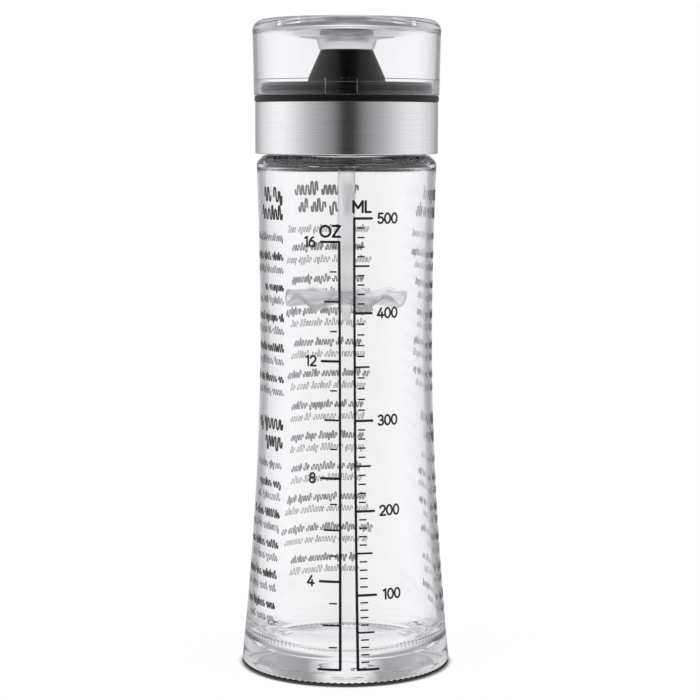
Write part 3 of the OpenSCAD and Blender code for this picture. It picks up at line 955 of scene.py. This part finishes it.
def lid_pocket(radius, height, angle):
    """Moves the foot band's inner face out by a ramp from the edge of the pocket to its floor."""
    off = np.abs((angle - KEY_TURN + np.pi) % (2 * np.pi) - np.pi)
    band = (radius < BAND_R + BAND_REACH) & (radius > BAND_R - MM) & (height < ledge_z + 0.01 * MM)
    ramp_up = np.clip((pocket_half - off) / pocket_slope + 0.5, 0, 1)
    return radius + np.where(band, POCKET_OUT * ramp_up, 0), height


lid = turned_piece("lid_shell", lid_profile, lid_angles, lid_pocket)
dress(lid, ACRYLIC, "lid", ["clear_lid"], 40)


# %% Matt slopes in the lid's pocket
def on_a_slope(middles, normals):
    """Faces of the foot band's inside that stand on one of the pocket's two slopes."""
    turn = np.arctan2(middles[:, 0], -middles[:, 1]) - KEY_TURN
    radius = np.hypot(middles[:, 0], middles[:, 1])
    inside = (radius < BAND_R + POCKET_OUT) & (middles[:, 2] < ledge_z - 0.3 * MM)
    return inside & (np.abs(np.abs(turn) - pocket_half) < pocket_slope / 2)


second_finish(lid, MOULDED_EDGE, on_a_slope)

# %% [markdown]
# ## The soft plug
#
# Frosted silicone, shaped like a mushroom. Its disc sits in the lid's ceiling, round the boss. The
# flat end of its neck seals the spout's rim, and its stem fills the pour hole.

# %% Turn the plug
PLUG_FOOT_R = 10.3 * MM
PLUG_NECK_R = 11.2 * MM
PLUG_NECK_H = 3.75 * MM
STEM_R = POUR_R - 0.3 * MM
STEM_L = 2.4 * MM
# The disc is bonded into its recess: no film of air is left between the two to mirror it away
BOND = 0.03 * MM
STEM_TAPER = 0.6 * MM
PLUG_EDGE = 0.25 * MM
PLUG_FILLET = 0.6 * MM

neck_top_z = SPOUT_Z + PLUG_NECK_H
bonded_r = PLUG_DISC_R + BOND
boss_side = BOSS_R - BOND
plug_profile = chain(
    polyline(
        (0, SPOUT_Z - STEM_L), (STEM_R - STEM_TAPER, SPOUT_Z - STEM_L),
        (STEM_R, SPOUT_Z - STEM_TAPER), (STEM_R, SPOUT_Z), (PLUG_FOOT_R - PLUG_EDGE, SPOUT_Z)
    ),
    arc((PLUG_FOOT_R - PLUG_EDGE, SPOUT_Z + PLUG_EDGE), PLUG_EDGE, -90, -10, 4),
    line((PLUG_FOOT_R + 0.05 * MM, SPOUT_Z + 0.5 * MM), (PLUG_NECK_R - 0.1 * MM, neck_top_z - 0.4 * MM)),
    arc((PLUG_NECK_R + PLUG_FILLET, neck_top_z - 0.5 * MM), PLUG_FILLET, 170, 100, 5),
    line((PLUG_NECK_R + MM, neck_top_z + 0.12 * MM), (PLUG_DISC_R - 0.3 * MM, disc_low_z)),
    arc((PLUG_DISC_R - PLUG_EDGE, disc_low_z + PLUG_EDGE), PLUG_EDGE, -80, 0, 4),
    polyline(
        (bonded_r, CEILING_Z - MM), (bonded_r, CEILING_Z + BOND), (boss_side, CEILING_Z + BOND),
        (boss_side, boss_z + BOND), (0, boss_z + BOND)
    )
)
plug = turned_piece("soft_plug", plug_profile, even_turn(128))
dress(plug, SOFT_PLUG, "lid", ["spout_plug"])

# %% [markdown]
# ## The mixer
#
# A frosted rod with a wavy disc near its foot. The disc's rim rises and falls eight times in a turn,
# so it churns the dressing when the bottle is shaken. It is one closed section carried round the
# rod, lifted by a cosine that grows from almost nothing at the hub to its full height at the rim.

# %% Turn the rod
ROD_TOP_Z = top("mixer_rod")
TIP_Z = foot("mixer_rod")
HUB_H = 4.4 * MM
TIP_R = 2.5 * MM
TIP_END_R = 1.25 * MM
TIP_ROUND = 0.4 * MM
ROD_CHAMFER = 0.5 * MM
disc_mid = (top("mixer_disc") + foot("mixer_disc")) / 2
rod_foot = disc_mid + HUB_H / 2
rod_profile = chain(
    [(0, TIP_Z)],
    arc((TIP_END_R - TIP_ROUND, TIP_Z + TIP_ROUND), TIP_ROUND, -90, 0, 4),
    [(TIP_R, rod_foot - HUB_H), (TIP_R, rod_foot), (ROD_R, rod_foot)],
    line((ROD_R, rod_foot + MM), (ROD_R, ROD_TOP_Z - ROD_CHAMFER), 12),
    [(ROD_R - ROD_CHAMFER, ROD_TOP_Z), (0, ROD_TOP_Z)]
)
rod = turned_piece("rod", rod_profile, even_turn(64))
dress(rod, FROSTED, "mixer", ["mixer_rod"])

# %% The wavy disc
DISC_T = 2.2 * MM
WAVE_COUNT = 8
WAVE_H = 1.9 * MM
WAVE_TURN = math.radians(16)
HUB_R = 4.8 * MM
HUB_CHAMFER = 0.3 * MM
# The disc's hole round the rod, and the radius from which its waves grow
HOLE_R = TIP_R + 0.05 * MM
WEB_R = 3.65 * MM
RINGS = 22

out = np.linspace(HUB_R, DISC_R - DISC_T / 2, RINGS + 1)
hub_high, hub_edge = HUB_H / 2, HUB_R - HUB_CHAMFER
disc_section = chain(
    [(HOLE_R, hub_high), (hub_edge, hub_high), (HUB_R, hub_high - HUB_CHAMFER)],
    np.stack([out, np.full(RINGS + 1, DISC_T / 2)], axis=1),
    arc((DISC_R - DISC_T / 2, 0), DISC_T / 2, 80, -80, 8),
    np.stack([out[::-1], np.full(RINGS + 1, -DISC_T / 2)], axis=1),
    [(HUB_R, -hub_high + HUB_CHAMFER), (hub_edge, -hub_high), (HOLE_R, -hub_high)]
)


def wave(radius, height, angle):
    """Lifts each point by a cosine of the angle, growing from the hub to the rim."""
    grow = np.clip((radius - WEB_R) / (DISC_R - WEB_R), 0, 1) * (radius > HUB_R - 0.01 * MM)
    grow = grow * (np.abs(height) < DISC_T / 2 + 0.01 * MM)
    return radius, disc_mid + height - WAVE_H * grow * np.cos(WAVE_COUNT * (angle - WAVE_TURN))


disc = turned_piece("wavy_disc", disc_section, even_turn(24 * WAVE_COUNT), wave)
dress(disc, CLEARER, "mixer", ["mixer_disc"], 50)

# %% [markdown]
# ## Print on the glass
#
# The scale and the small print are screen-printed enamel. Each stroke is a thin slab that follows the
# glass: a path on flat artwork, a width, and round ends. The artwork is then wrapped round the
# bottle by turning its width into an angle.

# %% Strokes on flat artwork
INK_T = 0.05 * MM
INK_LIFT = -0.02 * MM
ARTWORK_R = 33.5
# A round end: three places along it, as shares of half the stroke's width
ROUND_END = np.array([1.0, 0.8, 0.42])


def resample(path, step):
    """Points along a path no more than a step apart, its corners kept."""
    path = np.asarray(path, float)
    parts = [path[:1]]
    for a, b in zip(path[:-1], path[1:]):
        count = max(1, int(math.ceil(np.linalg.norm(b - a) / step)))
        parts.append(a + (b - a) * (np.arange(1, count + 1)[:, None] / count))
    return np.concatenate(parts)


def stroke(path, width, step=1.0, closed=False):
    """Left and right edges of a stroke: the path shifted by half its width each way, round at its ends."""
    path = resample(path, step)
    tangent = np.gradient(path, axis=0)
    if closed:
        tangent[0] = tangent[-1] = path[1] - path[-2]
    tangent /= np.linalg.norm(tangent, axis=1)[:, None]
    half = np.full(len(path), width / 2)
    if not closed:
        sizes = np.sqrt(1 - ROUND_END ** 2) * width / 2 + width * 0.01
        before = path[0] - tangent[0] * ROUND_END[:, None] * width / 2
        after = path[-1] + tangent[-1] * ROUND_END[::-1, None] * width / 2
        path = np.concatenate([before, path, after])
        tangent = np.concatenate([np.repeat(tangent[:1], 3, 0), tangent, np.repeat(tangent[-1:], 3, 0)])
        half = np.concatenate([sizes, half, sizes[::-1]])
    normal = np.stack([-tangent[:, 1], tangent[:, 0]], axis=1)
    return path + normal * half[:, None], path - normal * half[:, None]


# %% Wrapping artwork round the glass
def wrap(flat, lift):
    """Angle and height in, a point on the glass out, lifted off it by a little."""
    z = flat[:, 1] * MM
    return lathe_points(glass_radius(z) + lift, z, flat[:, 0])


def towards_the_axis(middles, normals):
    """Faces that look inwards: x times the normal's x plus y times its y is below 0."""
    return (middles * normals)[:, :2].sum(axis=1) < 0


def printed(name, strokes, material, behind):
    """All strokes of one ink as one mesh. A stroke is (left edge, right edge) in angle and height.

    The face that lies on the glass gets a material of its own, which shows through the bottle.
    """
    points, quads, start = [], [], 0
    top_lift = INK_LIFT + INK_T
    for left, right in strokes:
        count = len(left)
        points += [wrap(left, INK_LIFT), wrap(right, INK_LIFT), wrap(right, top_lift), wrap(left, top_lift)]
        corner = start + np.arange(4) * count
        here = np.arange(count - 1)
        for a, b in zip(corner, np.roll(corner, -1)):
            quads.append(np.stack([a + here, a + here + 1, b + here + 1, b + here], axis=1))
        quads.append(np.array([corner, (corner + count - 1)[::-1]]))
        start += 4 * count
    piece = mesh_from(name, np.concatenate(points), np.concatenate(quads))
    dress(piece, material, "bottle", (), 30)
    second_finish(piece, behind, towards_the_axis)


def placed(edges, angle, z, radius):
    """Moves a stroke's edges from flat millimetres to an angle and a height, for a glass radius in mm."""
    return tuple(edge / np.array([radius, 1]) + np.array([angle, z]) for edge in edges)


# %% [markdown]
# ### Numerals
#
# The figures are drawn, not set in a typeface: each is a few strokes with round ends, in a box one
# unit high. Curves are parts of ellipses.

# %% Strokes of each numeral and unit letter
def bow(cx, cy, rx, ry, start, end, steps=18):
    """Part of an ellipse, between two angles in degrees."""
    a = np.radians(np.linspace(start, end, steps + 1))
    return np.stack([cx + rx * np.cos(a), cy + ry * np.sin(a)], axis=1)


# Each: its width in the box's units, and the paths of its strokes
GLYPHS = {
    "0": (0.74, [bow(0.32, 0.5, 0.28, 0.5, 90, 450, 30)]),
    "1": (0.56, [[(0.16, 0.86), (0.36, 1)], [(0.36, 1), (0.36, 0)]]),
    "2": (0.70, [
        np.concatenate([bow(0.3, 0.71, 0.26, 0.29, 165, -38), [(0.05, 0.0)]]),
        [(0.05, 0), (0.58, 0)]
    ]),
    "3": (0.68, [bow(0.28, 0.75, 0.22, 0.25, 150, -90), bow(0.28, 0.26, 0.26, 0.26, 90, -150)]),
    "4": (0.76, [[(0.42, 1), (0.04, 0.26)], [(0.04, 0.26), (0.66, 0.26)], [(0.48, 0.56), (0.48, 0)]]),
    "5": (0.70, [[(0.52, 1), (0.14, 1)], [(0.14, 1), (0.09, 0.55)], bow(0.29, 0.31, 0.27, 0.31, 135, -150)]),
    "6": (0.72, [bow(0.31, 0.3, 0.27, 0.3, 90, 450, 26), bow(0.75, 0.26, 0.71, 0.8, 178, 116, 12)]),
    "8": (0.72, [bow(0.31, 0.75, 0.22, 0.25, -90, 270, 24), bow(0.31, 0.26, 0.28, 0.26, 90, 450, 24)]),
    "M": (1.02, [
        [(0.06, 0), (0.06, 1)], [(0.06, 1), (0.45, 0.36)],
        [(0.45, 0.36), (0.84, 1)], [(0.84, 1), (0.84, 0)]
    ]),
    "L": (0.60, [[(0.08, 1), (0.08, 0)], [(0.08, 0), (0.52, 0)]]),
    "O": (1.06, [bow(0.48, 0.5, 0.44, 0.5, 90, 450, 34)]),
    "Z": (0.76, [[(0.06, 1), (0.66, 1)], [(0.66, 1), (0.06, 0)], [(0.06, 0), (0.68, 0)]]),
}
# Figures are this much wider than they are drawn
STRETCH = 1.1


def lettering(words, angle, z, height, weight, from_right=False):
    """Strokes of a short string that starts, or ends, at an angle. Its size is in mm."""
    widths = [GLYPHS[c][0] * height * STRETCH for c in words]
    x = -sum(widths) if from_right else 0.0
    radius = float(glass_radius(z * MM)) / MM
    strokes = []
    for character, width in zip(words, widths):
        for path in GLYPHS[character][1]:
            path = np.asarray(path, float) * [height * STRETCH, height]
            closed = np.linalg.norm(path[0] - path[-1]) < 1e-6
            edges = stroke(path + [x, 0], weight, 0.35, closed)
            strokes.append(placed(edges, angle, z, radius))
        x += width
    return strokes


# %% [markdown]
# ### The volume scale
#
# Two uprights stand side by side, millilitres to the right of the one and fluid ounces to the left
# of the other. The steps between marks aren't even, because the bottle is wider at its foot.

# %% Heights of the marks, in millimetres above the table
ML_MARKS = {0: 5.4, 50: 18.9, 100: 32.5, 150: 47.8, 200: 63.2, 250: 79.7, 300: 96.3, 350: 115.9,
            400: 135.5, 450: 152.6, 500: 169.8}
OZ_MARKS = {0: 5.4, 2: 21.5, 4: 37.5, 6: 56.3, 8: 75.2, 10: 96.5, 12: 118.0, 14: 139.7, 16: 161.3}
SCALE_FOOT, SCALE_HEAD = ML_MARKS[0], ML_MARKS[500]
# Widths of the lines, then height and stroke width of the figures and the unit letters, in mm
LINE_W = 0.92
TICK_W = 0.72
FINE_W = 0.56
FIGURE_H, FIGURE_W = 3.5, 0.76
UNIT_H, UNIT_W = 3.9, 0.86
# Each upright's angle in degrees at its foot and at the scale's head
ML_ANGLE = (6.8, 5.0)
OZ_ANGLE = (-2.7, -4.5)
# Long, short and fine ticks: start and length in degrees from the upright, and width in mm
ML_TICKS = ((0, 11.2, LINE_W), (0, 9.3, TICK_W), (2.3, 3.8, FINE_W))
OZ_TICKS = ((0, -11.8, LINE_W), (0, -9.6, TICK_W), (-2.2, -3.7, FINE_W))
# Figures start or end this many degrees beside their upright
FIGURE_ASIDE = 15.0


def upright_angle(ends, z):
    """Angle of an upright at a height in mm: a straight run between its foot and its head."""
    share = (z - SCALE_FOOT) / (SCALE_HEAD - SCALE_FOOT)
    return math.radians(ends[0] + (ends[1] - ends[0]) * share)


def upright(ends, head):
    """A long line up the glass, from the scale's foot to a height."""
    z = np.linspace(SCALE_FOOT, head, 70)
    path = np.stack([[upright_angle(ends, h) * ARTWORK_R for h in z], z], axis=1)
    left, right = stroke(path, LINE_W, 3)
    return left / [ARTWORK_R, 1], right / [ARTWORK_R, 1]


def tick(ends, z, start, length, width):
    """A short level line beside an upright, start and length in degrees."""
    path = np.radians([[start, 0], [start + length, 0]]) * ARTWORK_R
    return placed(stroke(path, width, 0.8), upright_angle(ends, z), z, ARTWORK_R)


def ticks_and_figures(marks, ends, ticks, long_every, between, aside):
    """One side of the scale: long ticks with figures, short ones, and fine ones between them."""
    long_tick, short_tick, fine_tick = ticks
    strokes = []
    for amount, z in marks.items():
        labelled = amount % long_every == 0
        strokes.append(tick(ends, z, *(long_tick if labelled else short_tick)))
        if amount and labelled:
            angle = upright_angle(ends, z) + math.radians(aside)
            strokes += lettering(str(amount), angle, z - FIGURE_H / 2, FIGURE_H, FIGURE_W, aside < 0)
    for z in np.interp(between, list(marks), list(marks.values())):
        strokes.append(tick(ends, z, *fine_tick))
    return strokes


scale = [upright(ML_ANGLE, SCALE_HEAD), upright(OZ_ANGLE, OZ_MARKS[16])]
tens = np.arange(0, 500, 10)
scale += ticks_and_figures(ML_MARKS, ML_ANGLE, ML_TICKS, 100, tens[tens % 50 != 0], FIGURE_ASIDE)
scale += ticks_and_figures(OZ_MARKS, OZ_ANGLE, OZ_TICKS, 4, np.arange(1, 16, 2), -FIGURE_ASIDE)
ml_start = upright_angle(ML_ANGLE, 172) - math.radians(1.0)
oz_end = upright_angle(OZ_ANGLE, 163) + math.radians(1.2)
scale += lettering("ML", ml_start, 172.1, UNIT_H, UNIT_W)
scale += lettering("OZ", oz_end, 163.2, UNIT_H, UNIT_W, from_right=True)
printed("volume_scale", scale, INK_BLACK, INK_BLACK)

# %% [markdown]
# ### Columns of small print
#
# Beside and behind the scale stand columns of small print, drawn as a layout artist sketches text:
# each word is one running line, squared off like stems and arches, with a few taller strokes. Two
# lines in bold, one in grey, then pairs of bold and grey.

# %% Words as running lines
chance = np.random.default_rng(11)
# As shares of a letter's size: the gap between words, the narrowest letter, and how much wider
# others may be
WORD_GAP, NARROWEST, WIDER = 0.6, 0.52, 0.34
# Letters drawn below the first chance have a tall stem, those above the second a low one
TALL_CHANCE, LOW_CHANCE = 0.24, 0.9
TALL, LOW = 1.42, 0.4
POINTS_A_LETTER = 18


def word(letters, size):
    """One running line: half the size times 1 + tanh(3 sin t) / tanh 3, some stems taller or lower."""
    t = np.arange(letters * POINTS_A_LETTER + 1) / POINTS_A_LETTER
    each = np.minimum(t.astype(int), letters - 1)
    widths = (NARROWEST + WIDER * chance.random(letters)) * size
    starts = np.concatenate([[0], np.cumsum(widths)])
    swing = np.tanh(3 * np.sin(2 * np.pi * t)) / np.tanh(3)
    kind = chance.random(letters)
    z = size * (0.5 + 0.5 * swing)
    z = np.where((kind[each] < TALL_CHANCE) & (swing > 0), z * TALL, z)
    z = np.where((kind[each] > LOW_CHANCE) & (swing < 0), z + LOW * size * swing, z)
    return np.stack([starts[each] + (t - each) * widths[each], z], axis=1), starts[-1]


def text_line(angle, z, size, weight, width, shift, strokes):
    """Words with a gap between them, until the line is about as wide as asked.

    shift moves the line left by a share of its width: 0 starts it at the angle, 1 ends it there.
    """
    radius = float(glass_radius(z * MM)) / MM
    words, x = [], 0.0
    while x < width:
        path, length = word(int(chance.integers(2, 9)), size)
        if words and x + length > width * 1.12:
            break
        words.append(path + [x, 0])
        x += length + WORD_GAP * size
    for path in words:
        moved = path - [shift * (x - WORD_GAP * size), 0]
        strokes.append(placed(stroke(moved, weight, 5), angle, z, radius))


# Height of the letters and width of their strokes, in mm
HEADING = (3.3, 0.86)
BOLD = (1.95, 0.52)
THIN = (1.9, 0.32)
# Under the column's top: the first pair, and a pair's grey line under its bold one
PAIRS_DROP = 21.6
GREY_DROP = 4.8
dark, grey = [], []
# The lines above the pairs: how far down, the lettering, the share of the width, and the ink
OPENING = ((0, HEADING, 0.62, dark), (6.6, HEADING, 0.7, dark), (14.6, THIN, 0.8, grey))


def column(degrees, z_top, width, shift, pairs, pitch):
    """One column: two heading lines, a grey line, then pairs of a bold and a grey line."""
    angle = math.radians(degrees)
    for drop, letters, share, ink_strokes in OPENING:
        text_line(angle, z_top - drop, *letters, width * share, shift, ink_strokes)
    for i in range(pairs):
        z = z_top - PAIRS_DROP - pitch * i
        share = 0.7 + 0.3 * chance.random()
        text_line(angle, z, *BOLD, width * share, shift, dark)
        text_line(angle, z - GREY_DROP, *THIN, width * share * 0.95, shift, grey)


for degrees, width, shift in ((-45, 27, 1), (74, 33, 0)):
    for z_top in (175.6, 91.6):
        column(degrees, z_top, width, shift, pairs=5, pitch=11.25)
column(-164, 176.5, 44, 0.5, pairs=11, pitch=12.4)
printed("small_print_bold", dark, INK_BLACK, INK_BACK)
printed("small_print_grey", grey, INK_GREY, INK_GREY_BACK)

# %% [markdown]
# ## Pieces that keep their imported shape
#
# Two seals and the spider in the cap's throat hardly show, even when the cap is off. Their solids
# are right as they are, so they only get a finish.

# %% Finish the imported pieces
for node, material in (("neck_gasket", SEAL), ("spout_gasket", SEAL), ("rod_holder", BLACK)):
    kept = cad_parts[node]
    kept.data.materials.clear()
    kept.data.materials.append(material)
    print(node, "keeps its solid, in", material.name)

# %% [markdown]
# ## The floor
#
# A plain white floor that melts into the white room. In the photograph its shadow is narrow and
# dark: it hugs the front of the base and is gone a few millimetres out, because most of the light
# comes from the backdrop. That shadow is painted: ambient occlusion measures how much of the light
# from one side is blocked close by, and that darkens the light that the floor shows of its own.
# Through the clear base the floor shows no painted shadow and stays white, because glass lets light
# down to it. Light that has mirrored off a surface passes the floor and sees the studio, as it does
# anywhere else in the room.

# %% Floor with a narrow painted shadow
FLOOR_R = 0.45
FLOOR_DROP = 0.2 * MM
FLOOR_COLOUR = (0.9, 0.9, 0.9, 1)
# How much of what the eye sees is light of the floor's own, and how strong that light is
FLOOR_OWN_SHARE = 0.93
FLOOR_OWN_STRENGTH = 1.02
PAINTED_SHADOW_REACH = 6 * MM
PAINTED_SHADOW_STOPS = [(0.52, 0.005), (0.57, 0.03), (0.62, 0.26), (0.66, 0.72), (0.71, 1.0)]
# The painted shadow is measured towards this side, behind the shaker and above, as if most light came from
# there
PAINTED_SHADOW_LEAN = {"X": 0.0, "Y": 0.75, "Z": 0.66}

floor_material, tree = new_material("floor_white")
ray = tree.nodes.new("ShaderNodeLightPath").outputs
through = ray["Is Transmission Ray"]
towards_shadow_side = add_node(tree, "ShaderNodeCombineXYZ", **PAINTED_SHADOW_LEAN).outputs[0]
open_sky = add_node(tree, "ShaderNodeAmbientOcclusion", Distance=PAINTED_SHADOW_REACH, Normal=towards_shadow_side)
open_sky.samples = 16
# Painted shadow: the occlusion, through a ramp, darkens the light that the floor shows of its own
shadow = ramp(tree, open_sky.outputs["AO"], PAINTED_SHADOW_STOPS)
own_colour = mix_colours(tree, through, shadow, (1, 1, 1, 1))
own = add_node(tree, "ShaderNodeEmission", Color=own_colour, Strength=FLOOR_OWN_STRENGTH).outputs[0]
matt = add_node(tree, "ShaderNodeBsdfDiffuse", Color=FLOOR_COLOUR).outputs[0]
seen = maths(tree, "MAXIMUM", ray["Is Camera Ray"], through)
white = mix_shaders(tree, maths(tree, "MULTIPLY", seen, FLOOR_OWN_SHARE), matt, own)
nothing = tree.nodes.new("ShaderNodeBsdfTransparent").outputs[0]
open_floor = mix_shaders(tree, has_mirrored(tree, ray), white, nothing)
add_node(tree, "ShaderNodeOutputMaterial", Surface=open_floor)

turn = even_turn(64)
ring = FLOOR_R * np.stack([np.cos(turn), np.sin(turn), 0 * turn], axis=1)
floor_mesh = bpy.data.meshes.new("floor")
floor_mesh.from_pydata(ring.tolist(), [], [list(range(len(turn)))])
floor_mesh.materials.append(floor_material)
floor = bpy.data.objects.new("floor", floor_mesh)
bpy.context.collection.objects.link(floor)
floor.location.z = -FLOOR_DROP
